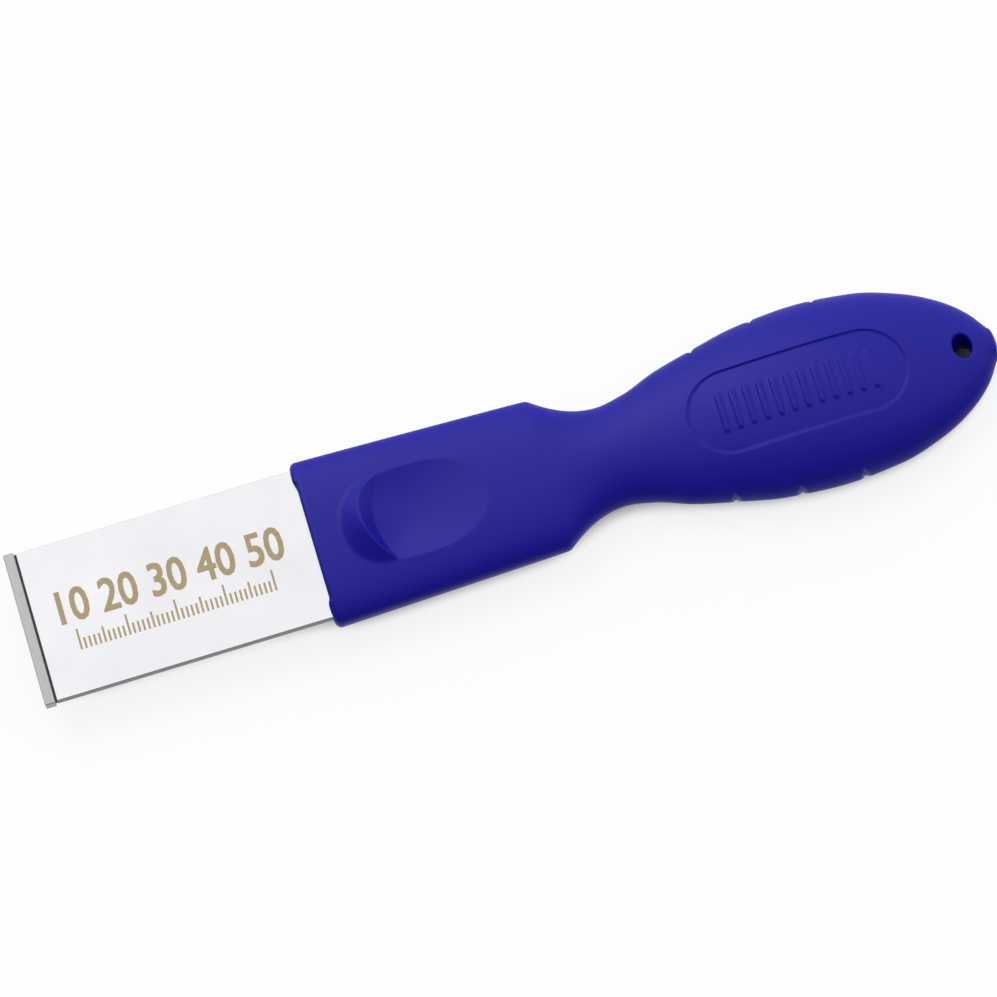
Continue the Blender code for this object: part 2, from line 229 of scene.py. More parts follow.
tree.links.new(both.outputs[0], out.inputs["Surface"])
print("the room is brightest towards", BRIGHT_SIDE)

# %% Softbox
SOFTBOX_WIDTH, SOFTBOX_HEIGHT, SOFTBOX_WATTS = 1.1, 0.9, 9.3
SOFTBOX_PLACE = (-0.565, 1.063, 1.338)
softbox_data = bpy.data.lights.new("softbox", "AREA")
softbox_data.shape = "RECTANGLE"
softbox_data.size, softbox_data.size_y = SOFTBOX_WIDTH, SOFTBOX_HEIGHT
softbox_data.energy = SOFTBOX_WATTS
softbox = add_object("softbox", softbox_data)
softbox.location = SOFTBOX_PLACE
softbox.rotation_mode = "QUATERNION"
softbox.rotation_quaternion = softbox.location.to_track_quat("Z", "Y")
print("softbox stands", round(softbox.location.length, 2), "m away")

# %% [markdown]
# ## Polypropylene, injection moulded
#
# The handle is blue polypropylene from a mould whose steel was spark eroded to a fine matt grain.
# The eye gets a deep even blue with a broad soft sheen and no sharp reflections. A real grain of
# this kind is about a tenth of a millimetre wide, and is drawn four times as coarse so that it
# shows. The blue drifts very slightly over a couple of centimetres, as pigment in a melt does.

# %% Handle plastic
MOULD_GRAIN, PIGMENT_DRIFT, GRAIN_DEPTH = 0.3846, 22.22, 0.06
plastic, tree, out = new_material("Blue polypropylene, moulded with a spark-eroded grain")
place = add_node(tree, "ShaderNodeTexCoord")
flow = add_node(
    tree, "ShaderNodeTexNoise", {"Scale": repeats(PIGMENT_DRIFT), "Detail": 3.0},
    {"Vector": place.outputs["Object"]},
)
tint = add_node(
    tree, "ShaderNodeMix", {6: hex_colour("110a93"), 7: hex_colour("130ca0")},
    {0: flow.outputs["Fac"]}, data_type="RGBA",
)
grain = add_node(
    tree, "ShaderNodeTexNoise", {"Scale": repeats(MOULD_GRAIN), "Detail": 2.0},
    {"Vector": place.outputs["Object"]},
)
relief = add_node(
    tree, "ShaderNodeBump", {"Strength": 0.12, "Distance": GRAIN_DEPTH * MM},
    {"Height": grain.outputs["Fac"]},
)
shine = add_node(
    tree, "ShaderNodeMapRange", {"To Min": 0.4, "To Max": 0.5}, {"Value": grain.outputs["Fac"]}
)
skin = add_node(
    tree, "ShaderNodeBsdfPrincipled", {"IOR": 1.49, "Specular IOR Level": 0.25},
    {"Base Color": tint.outputs[2], "Roughness": shine.outputs[0], "Normal": relief.outputs[0]},
)
tree.links.new(skin.outputs[0], out.inputs["Surface"])
print("the mould's grain is drawn", round(MOULD_GRAIN, 2), "mm wide")

# %% [markdown]
# ## Spring steel, ground and polished
#
# The blade is cut from a strip of hardened steel. Its faces are ground along the strip and then
# polished, so they mirror the room softly, with the faintest long lines. Real lines are a few
# hundredths of a millimetre apart, and are drawn 0.2 mm apart so that they show. The strip's edges
# are left as the shear cut them, duller and darker. One material gives both: the direction that a
# place faces tells whether it belongs to a face or to an edge.

# %% Blade steel
GRINDING_GAP, GRINDING_LENGTH, POLISH_CLOUD, GRINDING_DEPTH = 0.2, 16.67, 11.11, 0.02
steel, tree, out = new_material("Spring steel, ground and polished")
place = add_node(tree, "ShaderNodeTexCoord")
faces = add_node(tree, "ShaderNodeSeparateXYZ", None, {0: place.outputs["Normal"]})
upright = add_node(tree, "ShaderNodeMath", None, {0: faces.outputs["Z"]}, operation="ABSOLUTE")
on_face = add_node(
    tree, "ShaderNodeMapRange", {"From Min": 0.3, "From Max": 0.8}, {"Value": upright.outputs[0]}
)
long_way, cross_way = repeats(GRINDING_LENGTH), repeats(GRINDING_GAP)
stretch = add_node(
    tree, "ShaderNodeMapping", {"Scale": (long_way, cross_way, long_way)},
    {"Vector": place.outputs["Object"]},
)
lines = add_node(
    tree, "ShaderNodeTexNoise", {"Scale": 1.0, "Detail": 2.0}, {"Vector": stretch.outputs[0]}
)
cloud = add_node(
    tree, "ShaderNodeTexNoise", {"Scale": repeats(POLISH_CLOUD), "Detail": 3.0},
    {"Vector": place.outputs["Object"]},
)
tint = add_node(
    tree, "ShaderNodeMix", {6: hex_colour("dbd9dd"), 7: hex_colour("e4e4e7")},
    {0: cloud.outputs["Fac"]}, data_type="RGBA",
)
colour = add_node(
    tree, "ShaderNodeMix", {6: hex_colour("86868a")},
    {0: on_face.outputs[0], 7: tint.outputs[2]}, data_type="RGBA",
)
shine = add_node(
    tree, "ShaderNodeMapRange", {"To Min": 0.16, "To Max": 0.22}, {"Value": cloud.outputs["Fac"]}
)
dull = add_node(
    tree, "ShaderNodeMix", {2: 0.5}, {0: on_face.outputs[0], 3: shine.outputs[0]}, data_type="FLOAT"
)
relief = add_node(
    tree, "ShaderNodeBump", {"Strength": 0.05, "Distance": GRINDING_DEPTH * MM},
    {"Height": lines.outputs["Fac"]},
)
face = add_node(
    tree, "ShaderNodeBsdfPrincipled", {"Metallic": 1.0},
    {"Base Color": colour.outputs[2], "Roughness": dull.outputs[0], "Normal": relief.outputs[0]},
)
tree.links.new(face.outputs[0], out.inputs["Surface"])
print("grinding lines are", GRINDING_GAP, "mm apart")

# %% [markdown]
# ## Tungsten carbide, ground
#
# The cutting bar is sintered from fine carbide powder and ground with a diamond wheel. It is a
# darker and duller grey than steel, with short scratches along the bar. The wheel marks are a few
# hundredths of a millimetre apart, and are drawn three times as coarse so that they show.

# %% Cutting bar
WHEEL_MARK_GAP, WHEEL_MARK_LENGTH, WHEEL_MARK_DEPTH = 0.1429, 3.333, 0.02
carbide, tree, out = new_material("Tungsten carbide, ground")
place = add_node(tree, "ShaderNodeTexCoord")
long_way, cross_way = repeats(WHEEL_MARK_LENGTH), repeats(WHEEL_MARK_GAP)
stretch = add_node(
    tree, "ShaderNodeMapping", {"Scale": (cross_way, long_way, cross_way)},
    {"Vector": place.outputs["Object"]},
)
lines = add_node(
    tree, "ShaderNodeTexNoise", {"Scale": 1.0, "Detail": 3.0}, {"Vector": stretch.outputs[0]}
)
tint = add_node(
    tree, "ShaderNodeMix", {6: hex_colour("989899"), 7: hex_colour("aeaeaf")},
    {0: lines.outputs["Fac"]}, data_type="RGBA",
)
shine = add_node(
    tree, "ShaderNodeMapRange", {"To Min": 0.35, "To Max": 0.5}, {"Value": lines.outputs["Fac"]}
)
relief = add_node(
    tree, "ShaderNodeBump", {"Strength": 0.15, "Distance": WHEEL_MARK_DEPTH * MM},
    {"Height": lines.outputs["Fac"]},
)
face = add_node(
    tree, "ShaderNodeBsdfPrincipled", {"Metallic": 1.0},
    {"Base Color": tint.outputs[2], "Roughness": shine.outputs[0], "Normal": relief.outputs[0]},
)
tree.links.new(face.outputs[0], out.inputs["Surface"])
print("wheel marks are drawn", round(WHEEL_MARK_GAP, 2), "mm apart")

# %% [markdown]
# ## Silver braze, torch-stained, with painted shade
#
# Molten silver alloy joins the bar to the blade. Flux and heat leave it blotchy, and its dark colour is
# partly painted shade: from above it is a thin dark line in the shaded step between bar and blade.

# %% Braze
BLOTCH, BLOTCH_DEPTH = 1.111, 0.05
braze, tree, out = new_material("Silver braze, torch-stained and painted with step shade")
place = add_node(tree, "ShaderNodeTexCoord")
blotch = add_node(
    tree, "ShaderNodeTexNoise", {"Scale": repeats(BLOTCH), "Detail": 3.0},
    {"Vector": place.outputs["Object"]},
)
# Dark colours: torch stain, and partly painted shade for the step between bar and blade.
tint = add_node(
    tree, "ShaderNodeMix", {6: hex_colour("2c2b29"), 7: hex_colour("565350")},
    {0: blotch.outputs["Fac"]}, data_type="RGBA",
)
uneven = add_node(
    tree, "ShaderNodeBump", {"Strength": 0.4, "Distance": BLOTCH_DEPTH * MM},
    {"Height": blotch.outputs["Fac"]},
)
face = add_node(
    tree, "ShaderNodeBsdfPrincipled", {"Metallic": 1.0, "Roughness": 0.6},
    {"Base Color": tint.outputs[2], "Normal": uneven.outputs[0]},
)
tree.links.new(face.outputs[0], out.inputs["Surface"])
print("braze blotches are about", round(BLOTCH, 1), "mm wide")

# %% Finishes for the measured solids
finishes = {"handle": plastic, "blade": steel, "carbide_tip": carbide, "braze_joint": braze}
for name, finish in finishes.items():
    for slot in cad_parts[name].material_slots:
        slot.material = finish
    print(name, "takes", finish.name)

# %% [markdown]
# ## The handle's skin
#
# The moulded handle is a sleeve with a thumb hollow, a waist and a leaf-shaped grip. The measured
# solid is made of large facets, so this step makes a finer skin from the same sizes. A curve drawn
# through a few measured widths and heights gives each section. The curve never overshoots, because
# a bulge between two measured places would show at once on a smooth handle.

# %% Curves through measured places
def smooth_curve(points):
    """A curve through (place, value) points that never overshoots the values it passes."""
    places, values = np.array(points, float).T
    gaps = np.diff(places)
    rises = np.diff(values) / gaps
    slopes = np.zeros(len(places))
    for i in range(1, len(rises)):
        if rises[i - 1] * rises[i] > 0:
            before, after = 2 * gaps[i] + gaps[i - 1], gaps[i] + 2 * gaps[i - 1]
            slopes[i] = (before + after) / (before / rises[i - 1] + after / rises[i])
    slopes[-1] = rises[-1] if abs(rises[-1]) > abs(slopes[-2]) else 0.0

    def at(x):
        """The value at a place; beyond both ends it stays level."""
        i = np.clip(np.searchsorted(places, x) - 1, 0, len(gaps) - 1)
        t = np.clip((x - places[i]) / gaps[i], 0.0, 1.0)
        keep = (1 + 2 * t) * (1 - t) ** 2
        turn = slopes[i] * t * (1 - t) ** 2 + slopes[i + 1] * t * t * (t - 1)
        return values[i] * keep + values[i + 1] * (1 - keep) + gaps[i] * turn

    return at


def spread(start, end, values, points):
    """Shares of a stretch and of a change, turned into places and values."""
    return [(start + (end - start) * a, values[0] + (values[1] - values[0]) * b) for a, b in points]


MOUTH, SHOULDER, WAIST, BELLY, HOLE, NOSE, END = -41.0, 7.2, 20.6, 63.5, 93.1, 99.1, 100.0
MOUTH_HALF, SLEEVE_TAPER, WAIST_HALF, BELLY_HALF, NOSE_HALF = 17.625, 1.475, 10.6, 19.35, 3.5
WAIST_ROUND, SLEEVE_BLEND, BLADE_Z = 29.8, 0.35, 7.2
BELLY_SHARES = [(0, 0), (0.13, 0.113), (0.3, 0.42), (0.5, 0.67), (0.72, 0.9), (1, 1)]
NOSE_SHARES = [(0, 0), (0.33, 0.065), (0.6, 0.25), (0.78, 0.467), (0.92, 0.74), (1, 1)]
to_belly = smooth_curve(spread(WAIST, BELLY, (WAIST_HALF, BELLY_HALF), BELLY_SHARES))
to_nose = smooth_curve(spread(BELLY, NOSE, (BELLY_HALF, NOSE_HALF), NOSE_SHARES))

# How far the upper and the lower side stand from the blade's middle plane in mm, how far the widest
# level drops below that plane, and the power that makes a section boxy (over 2) or round (2).
crown = smooth_curve([(MOUTH, 3.4), (SHOULDER, 3.6), (WAIST, 3.9), (BELLY, 6.0), (HOLE, 1.8), (NOSE, -0.2)])
keel = smooth_curve([(MOUTH, 7.5), (SHOULDER, 7.5), (WAIST, 6.6), (BELLY, 7.8), (HOLE, 7.3), (NOSE, 5.6)])
drop = smooth_curve([(MOUTH, 0.5), (WAIST, 1.2), (BELLY, 1.8), (NOSE, 2.9)])
fullness = smooth_curve([(MOUTH, 2.6), (SHOULDER, 2.3), (WAIST, 2.0), (BELLY, 2.05), (NOSE, 2.0)])


def half_width(x):
    """Half the handle's width in mm: a tapering sleeve, a waist, and a leaf-shaped grip."""
    taper = MOUTH_HALF - SLEEVE_TAPER * (x - MOUTH) / (SHOULDER - MOUTH)
    waist = WAIST_HALF + (WAIST - x) ** 2 / WAIST_ROUND
    sleeve = (taper + waist - np.hypot(taper - waist, SLEEVE_BLEND)) / 2
    return np.where(x >= BELLY, to_nose(x), np.where(x >= WAIST, to_belly(x), sleeve))


def top_height(x, y):
    """The height in mm of the plain upper side, before its details."""
    power = fullness(x)
    rise = (1 - np.abs(y / half_width(x)) ** power) ** (1 / power)
    return BLADE_Z - drop(x) + (crown(x) + drop(x)) * rise


print("half widths in mm:", [round(float(half_width(x)), 2) for x in (MOUTH, WAIST, BELLY, NOSE)])

# %% [markdown]
# ## Details of the upper side
#
# A low crescent and an oval hollow guide the thumb. On the grip, a round-ended panel is sunk by 0.4
# mm and carries a row of plain raised bars, and the hang hole has a rounded rim. Each of these is a
# height added to the plain upper side, with its edges blended over a few tenths of a mm, as
# the mould maker's radius does.

# %% Heights that blend
def soft_max(a, b, blend):
    """The larger of two heights, with the corner between them rounded where they are nearly equal."""
    near = np.maximum(blend - np.abs(a - b), 0.0)
    return np.maximum(a, b) + near**2 / (4 * blend)


def smooth_step(value, start, end):
    """A rise from 0 at the start to 1 at the end, level at both."""
    t = np.clip((value - start) / (end - start), 0.0, 1.0)
    return t * t * (3 - 2 * t)


print("halfway up a smooth step:", smooth_step(0.5, 0.0, 1.0))

# %% Thumb crescent and hollow
LIP_X, LIP_ALONG, LIP_ACROSS, LIP_BLEND = MOUTH + 14.5, 8.0, 9.0, 0.18
WALL_X, WALL_CURVE, WALL_SLOPE, WALL_TWIST, WALL_LEAST = MOUTH + 13.5, 0.028, 1.1, 0.078, 0.5
SCOOP_X, SCOOP_SIDE = MOUTH + 22.5, 9.4
SCOOP_FRONT, SCOOP_BACK, FRONT_FULLNESS, BACK_FULLNESS = 12.0, 14.0, 3.5, 2.2
DISH_BACK, DISH_DEEPER, DISH_START, DISH_LENGTH, DISH_LIMIT = 0.3, 0.75, SCOOP_X + 12.0, 21.0, 1.6
FOOT_BLEND, RIM_BLEND, CREST_BLEND, CREST_START, CREST_END = 0.2, 0.035, 0.36, 0.1, 1.0
lip_rise = smooth_curve([(0, 3.7), (0.3, 3.1), (0.5, 2.3), (0.75, 1.15), (0.92, 0.35), (1.1, -0.3)])


def lip_height(x, y):
    """A low round swelling, of which the hollow leaves a crescent."""
    return soft_max(lip_rise(np.hypot((x - LIP_X) / LIP_ALONG, y / LIP_ACROSS)), 0.0, LIP_BLEND)


def wall_foot(y):
    """Where the steep front wall of the hollow starts."""
    return WALL_X + WALL_CURVE * y**2


def scoop_height(x, y):
    """The hollow: level from rim to rim, then dished, deepest at the front, with its front wall."""
    reach = np.where(x < SCOOP_X, SCOOP_FRONT, SCOOP_BACK)
    power = np.where(x < SCOOP_X, FRONT_FULLNESS, BACK_FULLNESS)
    along = np.abs((x - SCOOP_X) / reach) ** power
    rim = SCOOP_SIDE * np.maximum(1 - along, 0.0) ** (1 / power)
    level = top_height(x, rim) - top_height(x, y)
    share = (along + np.abs(y / SCOOP_SIDE) ** power) ** (1 / power)
    depth = DISH_BACK + DISH_DEEPER * smooth_step(DISH_START - x, 0.0, DISH_LENGTH)
    dish = depth * (np.minimum(share, DISH_LIMIT) ** 2 - 1)
    slope = np.maximum(WALL_SLOPE - WALL_TWIST * y, WALL_LEAST)
    return level + dish + slope * soft_max(wall_foot(y) - x, 0.0, FOOT_BLEND)


print("the hollow is", SCOOP_FRONT + SCOOP_BACK, "mm long and", 2 * SCOOP_SIDE, "mm wide")

# %% Panel, bars and the rim of the hang hole
PANEL_X, PANEL_HALF, PANEL_RADIUS, PANEL_DEPTH = BELLY - 4.1, 22.35, 8.7, 0.4
BAR_COUNT, BAR_PITCH, BAR_SPAN = 12, 2.8, 30.8
BAR_HALF, BAR_RADIUS, BAR_HEIGHT = 4.2, 0.65, 0.31
BAR_XS = [PANEL_X - BAR_SPAN / 2 + BAR_PITCH * i for i in range(BAR_COUNT)]
PANEL_WALL, BAR_WALL = (-0.36, 0.12), (-0.3, 0.12)
HOLE_ALONG, HOLE_ACROSS, HOLE_ROUND, HOLE_MIDDLE = 1.95, 2.6, 0.4, 0.1


def slot_distance(across, along, half, radius):
    """How far outside a round-ended slot a place lies, in mm, with a minus sign inside."""
    return np.hypot(across, np.maximum(np.abs(along) - (half - radius), 0.0)) - radius


def panel_height(x, y):
    """The sunk panel and its raised bars."""
    sunk = 1 - smooth_step(slot_distance(y, x - PANEL_X, PANEL_HALF, PANEL_RADIUS), *PANEL_WALL)
    number = np.clip(np.round((x - BAR_XS[0]) / BAR_PITCH), 0, BAR_COUNT - 1)
    nearest = BAR_XS[0] + BAR_PITCH * number
    raised = 1 - smooth_step(slot_distance(x - nearest, y, BAR_HALF, BAR_RADIUS), *BAR_WALL)
    return -PANEL_DEPTH * sunk + BAR_HEIGHT * raised


def rim_height(x, y):
    """The rounded rim of the hang hole, as a quarter of a circle in section."""
    share = np.maximum(np.hypot((x - HOLE) / HOLE_ALONG, y / HOLE_ACROSS), HOLE_MIDDLE)
    inward = np.clip(HOLE_ROUND - np.hypot(x - HOLE, y) * (1 - 1 / share), 0.0, HOLE_ROUND)
    return np.sqrt(HOLE_ROUND**2 - inward**2) - HOLE_ROUND


def skin_height(x, y):
    """The height in mm of the finished upper side."""
    lip = lip_height(x, y)
    blend = RIM_BLEND + CREST_BLEND * smooth_step(lip, CREST_START, CREST_END)
    thumb = -soft_max(-lip, -scoop_height(x, y), blend)
    return top_height(x, y) + thumb + panel_height(x, y) + rim_height(x, y)


print("thumb hollow's floor in mm:", round(float(skin_height(SCOOP_X, 0.0)), 2))

# %% [markdown]
# ## Where the points go
#
# A regular net spends most of its points where nothing happens and still cuts the corners of a
# curved rim. Here rows of points follow each rim, close together, and a plain net fills the rest.
# Triangles are then drawn between them in plan, and every point is lifted to its height.

# %% Rows that follow the rims
def oval_rows(centre, along, across, offsets, count):
    """Rows round an oval at distances from its edge."""
    turns = np.linspace(0.0, math.tau, count, endpoint=False)
    return [(centre + (along + d) * np.cos(turns), (across + d) * np.sin(turns)) for d in offsets]


LEAST_POINTS = 12


def slot_rows(centre, half, radius, offsets, gap, upright):
    """Rows round a slot at distances from its edge."""
    rows = []
    for offset in offsets:
        r = radius + offset
        straight, bend = half - radius, math.pi * r
        length = 4 * straight + 2 * bend
        s = np.linspace(0.0, length, max(int(length / gap), LEAST_POINTS), endpoint=False)
        side = s >= length / 2
        s = np.where(side, s - length / 2, s)
        angle = np.clip((s - 2 * straight) / r, 0.0, math.pi)
        along = np.where(s < 2 * straight, s - straight, straight + r * np.sin(angle))
        across = r * np.cos(angle)
        along, across = np.where(side, -along, along), np.where(side, -across, across)
        rows.append((centre + across, along) if upright else (centre + along, across))
    return rows


def crest_rows(offsets, count):
    """Rows along the hollow's rim, which is found on each ray from its middle by halving."""
    turns = np.linspace(0.0, math.tau, count, endpoint=False)
    low, high = np.full(count, CREST_NEAREST), np.full(count, CREST_FARTHEST)
    for _ in range(HALVINGS):
        middle = (low + high) / 2
        x, y = SCOOP_X + middle * np.cos(turns), middle * np.sin(turns)
        inside = scoop_height(x, y) < lip_height(x, y)
        low, high = np.where(inside, middle, low), np.where(inside, high, middle)
    return [(SCOOP_X + (low + d) * np.cos(turns), (low + d) * np.sin(turns)) for d in offsets]


def foot_rows(offsets, side, count):
    """Rows along the foot of the hollow's front wall."""
    y = np.linspace(-side, side, count)
    return [(wall_foot(y) + d, y) for d in offsets]


print("helpers for the rows:", [f.__name__ for f in (oval_rows, slot_rows, crest_rows, foot_rows)])

# %% The rows
CREST_NEAREST, CREST_FARTHEST, HALVINGS = 2.0, 24.0, 30
FOOT_SIDE, PANEL_POINT_GAP, BAR_POINT_GAP = 6.4, 0.5, 0.4
CREST_POINTS, FOOT_POINTS, HOLE_POINTS = 150, 33, 56
CREST_OFFSETS = (-0.6, -0.36, -0.2, -0.08, 0.04, 0.16, 0.32, 0.55, 0.9)
FOOT_OFFSETS = (-0.3, -0.15, 0.0, 0.15, 0.3)
PANEL_OFFSETS = (-0.6, -0.4, -0.3, -0.2, -0.12, -0.04, 0.04, 0.14, 0.4)
BAR_OFFSETS = (-0.3, -0.2, -0.1, 0.0, 0.12, 0.3)
HOLE_OFFSETS = (-0.08, 0.04, 0.12, 0.22, 0.32, 0.42, 0.65)
rows = crest_rows(CREST_OFFSETS, CREST_POINTS)
rows += foot_rows(FOOT_OFFSETS, FOOT_SIDE, FOOT_POINTS)
rows += slot_rows(PANEL_X, PANEL_HALF, PANEL_RADIUS, PANEL_OFFSETS, PANEL_POINT_GAP, False)
for bar_x in BAR_XS:
    rows += slot_rows(bar_x, BAR_HALF, BAR_RADIUS, BAR_OFFSETS, BAR_POINT_GAP, True)
rows += oval_rows(HOLE, HOLE_ALONG, HOLE_ACROSS, HOLE_OFFSETS, HOLE_POINTS)
rim_points = np.concatenate([np.stack(row, 1) for row in rows])
print(len(rim_points), "points follow the rims")

# %% The outline of the net
NET_START, NET_END, NET_SHARE = MOUTH + 2.0, HOLE + 3.6, 0.86
NICK_START, NICK_PITCH, NICK_COUNT, NICK_REACH, NICK_DEPTH = BELLY + 4.0, 12.9, 3, 1.4, 1.1
NICK_XS = [NICK_START - NICK_PITCH * i for i in range(NICK_COUNT)]
NICK_SHARES = (0.05, 0.12, 0.22, 0.34, 0.48, 0.64, 0.82, 1.0)
NICK_MARGIN, NICK_CLEAR = 0.1, 0.25
NOTCH_SIDE, NOTCH_SHARES = 12.78, (-0.04, -0.02, -0.01, 0.0, 0.01, 0.03)
STRETCHES = [(SHOULDER - 3, 0.8), (SHOULDER + 3, 0.3), (NET_END, 0.7)]
INNER_STEPS, INNER_SHARE, OUTER_SHARE = 9, 0.78, 0.92


def stations():
    """Places along the handle, closer together at its nicks and where its outline turns."""
    places = [NET_START]
    for end, gap in STRETCHES:
        places += list(np.linspace(places[-1], end, math.ceil((end - places[-1]) / gap) + 1)[1:])
    for x in NICK_XS:
        places = [p for p in places if abs(p - x) > NICK_REACH + NICK_CLEAR]
        places += [x + side * NICK_REACH * share for share in NICK_SHARES for side in (-1, 1)]
        places += [x, x - NICK_REACH - NICK_MARGIN, x + NICK_REACH + NICK_MARGIN]
    return np.array(sorted(places))


along = stations()
edge = NET_SHARE * half_width(along)
notch_side = NOTCH_SIDE / (NET_SHARE * MOUTH_HALF) + np.array(NOTCH_SHARES)
# The net's short ends have points at these shares of its half width, close together where the
# middle of the mouth is set back.
inner = np.linspace(0, INNER_SHARE, INNER_STEPS)[1:]
cross = np.concatenate([inner, notch_side, [OUTER_SHARE]])
cross = np.concatenate([-cross[::-1], [0.0], cross])
outline = np.concatenate([
    np.stack([along, -edge], 1),
    np.stack([np.full(len(cross), along[-1]), cross * edge[-1]], 1),
    np.stack([along, edge], 1)[::-1],
    np.stack([np.full(len(cross), along[0]), cross[::-1] * edge[0]], 1),
])
print(len(along), "stations along the handle and", len(outline), "points round the net")

# %% The net in plan
NET_GAP, NET_SIDE, ROW_SHARE = 0.6, 18.0, 0.866
END_CLEAR, SIDE_CLEAR, RIM_CLEAR = 0.3, 0.35, 0.36
INSIDE_ONLY, SAME_POINT = 1, 1e-7
net = []
for row, y in enumerate(np.arange(-NET_SIDE, NET_SIDE, NET_GAP * ROW_SHARE)):
    x = np.arange(NET_START + NET_GAP * (0.5 + 0.5 * (row % 2)), NET_END - END_CLEAR, NET_GAP)
    x = x[np.abs(y) < NET_SHARE * half_width(x) - SIDE_CLEAR]
    net.append(np.stack([x, np.full(len(x), y)], 1))
net = np.concatenate(net)
near_rims = kdtree.KDTree(len(rim_points))
for i, (x, y) in enumerate(rim_points):
    near_rims.insert((x, y, 0.0), i)
near_rims.balance()
net = net[[near_rims.find((x, y, 0.0))[2] > RIM_CLEAR for x, y in net]]
plan = np.concatenate([outline, rim_points, net])
border = [list(range(len(outline)))]
flat = delaunay_2d_cdt([Vector(p) for p in plan], [], border, INSIDE_ONLY, SAME_POINT)
plan = np.array([tuple(p) for p in flat[0]])
print(len(plan), "points and", len(flat[2]), "triangles in plan")

# %% [markdown]
# ## Sides, underside and ends
#
# Below the net, each station gets one row of points that runs from the net's edge round the side,
# under the handle and up to the other edge. The upright nicks are pressed into these rows.
# The mouth and the nose are closed by whole rings that turn in and shrink.

# %% Sections
SIDE_POINTS, FINE_POINTS = 84, 1200
MOUTH_ROUND, MOUTH_ROUND_SIDE, MOUTH_ROUND_TOP = 1.4, 1.9, 0.5


def mouth_inset(x):
    """The share of the mouth's rounding that is taken off at x, from 1 at the front down to 0."""
    return 1 - math.sqrt(1 - min(max(1 - (x - MOUTH) / MOUTH_ROUND, 0.0), 1.0) ** 2)


def section(x, scale=1.0):
    """The section from the net's edge on one side, under the handle, to the edge on the other."""
    start = math.acos(NET_SHARE ** (float(fullness(x)) / 2))
    turns = np.linspace(start, -math.pi - start, FINE_POINTS)
    inset = mouth_inset(x)
    power = 2 / float(fullness(x))
    down = float(drop(x))
    above = float(crown(x)) + down - MOUTH_ROUND_TOP * inset
    below = float(keel(x)) - down - MOUTH_ROUND_TOP * inset
    across, up = np.cos(turns), np.sin(turns)
    y = (float(half_width(x)) - MOUTH_ROUND_SIDE * inset) * np.sign(across) * np.abs(across) ** power
    z = np.where(up > 0, above, below) * np.sign(up) * np.abs(up) ** power
    return y * scale, BLADE_Z - down + z * scale


def even_points(y, z, count):
    """The same line with its points at even distances."""
    gone = np.concatenate([[0.0], np.cumsum(np.hypot(np.diff(y), np.diff(z)))])
    where = np.linspace(0.0, gone[-1], count)
    return np.interp(where, gone, y), np.interp(where, gone, z)


print("the mouth's front edge is rounded over", MOUTH_ROUND, "mm")

# %% Rows round the sides
NICK_ROUND, NICK_POWER = 0.08, 1.7


def nicked(x, y):
    """Half widths held back where a nick crosses them."""
    for nick_x in NICK_XS:
        off = abs(x - nick_x) / NICK_REACH
        if off < 1:
            pressed = NICK_DEPTH * max(1 - math.hypot(off, NICK_ROUND), 0.0) ** NICK_POWER
            limit = float(half_width(x)) - pressed
            y = np.clip(y, -limit, limit)
    return y


side_rows = []
for x in along:
    y, z = section(x)
    y, z = even_points(nicked(x, y), z, SIDE_POINTS)
    y[0], y[-1] = NET_SHARE * half_width(x), -NET_SHARE * half_width(x)
    z[0], z[-1] = skin_height(x, y[0]), skin_height(x, y[-1])
    side_rows.append(np.stack([np.full(SIDE_POINTS, x), y, z], 1))
print(len(side_rows), "rows of", SIDE_POINTS, "points")

# %% Rings at both ends
NOTCH_DEPTH, NOTCH_FADE, NOTCH_INNER, NOTCH_OUTER = 0.5, 2.0, 12.62, 12.93
MOUTH_RINGS, MOUTH_MIDDLE_DROP, PAST_ROUND = 8, 0.7, MOUTH + 1.7
CAP_SHARES = (0.9, 0.8, 0.76, 0.72, 0.6, 0.3, 0.05)
NOSE_XS = (NET_END, NET_END + 0.6, NET_END + 1.2, NET_END + 1.8, NOSE)
NOSE_TURNS = (15, 30, 45, 60, 72, 82)


def end_ring(x, scale=1.0):
    """A whole ring: the side row, then points over the top at the same widths as the net's edge."""
    y, z = even_points(*section(x, scale), SIDE_POINTS)
    power = float(fullness(x))
    share = cross * NET_SHARE
    above = float(crown(x) + drop(x)) - MOUTH_ROUND_TOP * mouth_inset(x)
    over_y = share * (float(half_width(x)) - MOUTH_ROUND_SIDE * mouth_inset(x)) * scale
    over_z = BLADE_Z - float(drop(x)) + above * (1 - np.abs(share) ** power) ** (1 / power) * scale
    under = np.stack([np.full(len(y), x), y, z], 1)
    return np.concatenate([under, np.stack([np.full(len(cross), x), over_y, over_z], 1)])


def notched(points):
    """The middle of the mouth set back behind its two corners."""
    fade = 1 - smooth_step(points[:, 0] - MOUTH, 0.0, NOTCH_FADE)
    middle = 1 - smooth_step(np.abs(points[:, 1]), NOTCH_INNER, NOTCH_OUTER)
    moved = points.copy()
    moved[:, 0] += NOTCH_DEPTH * fade * middle
    return moved


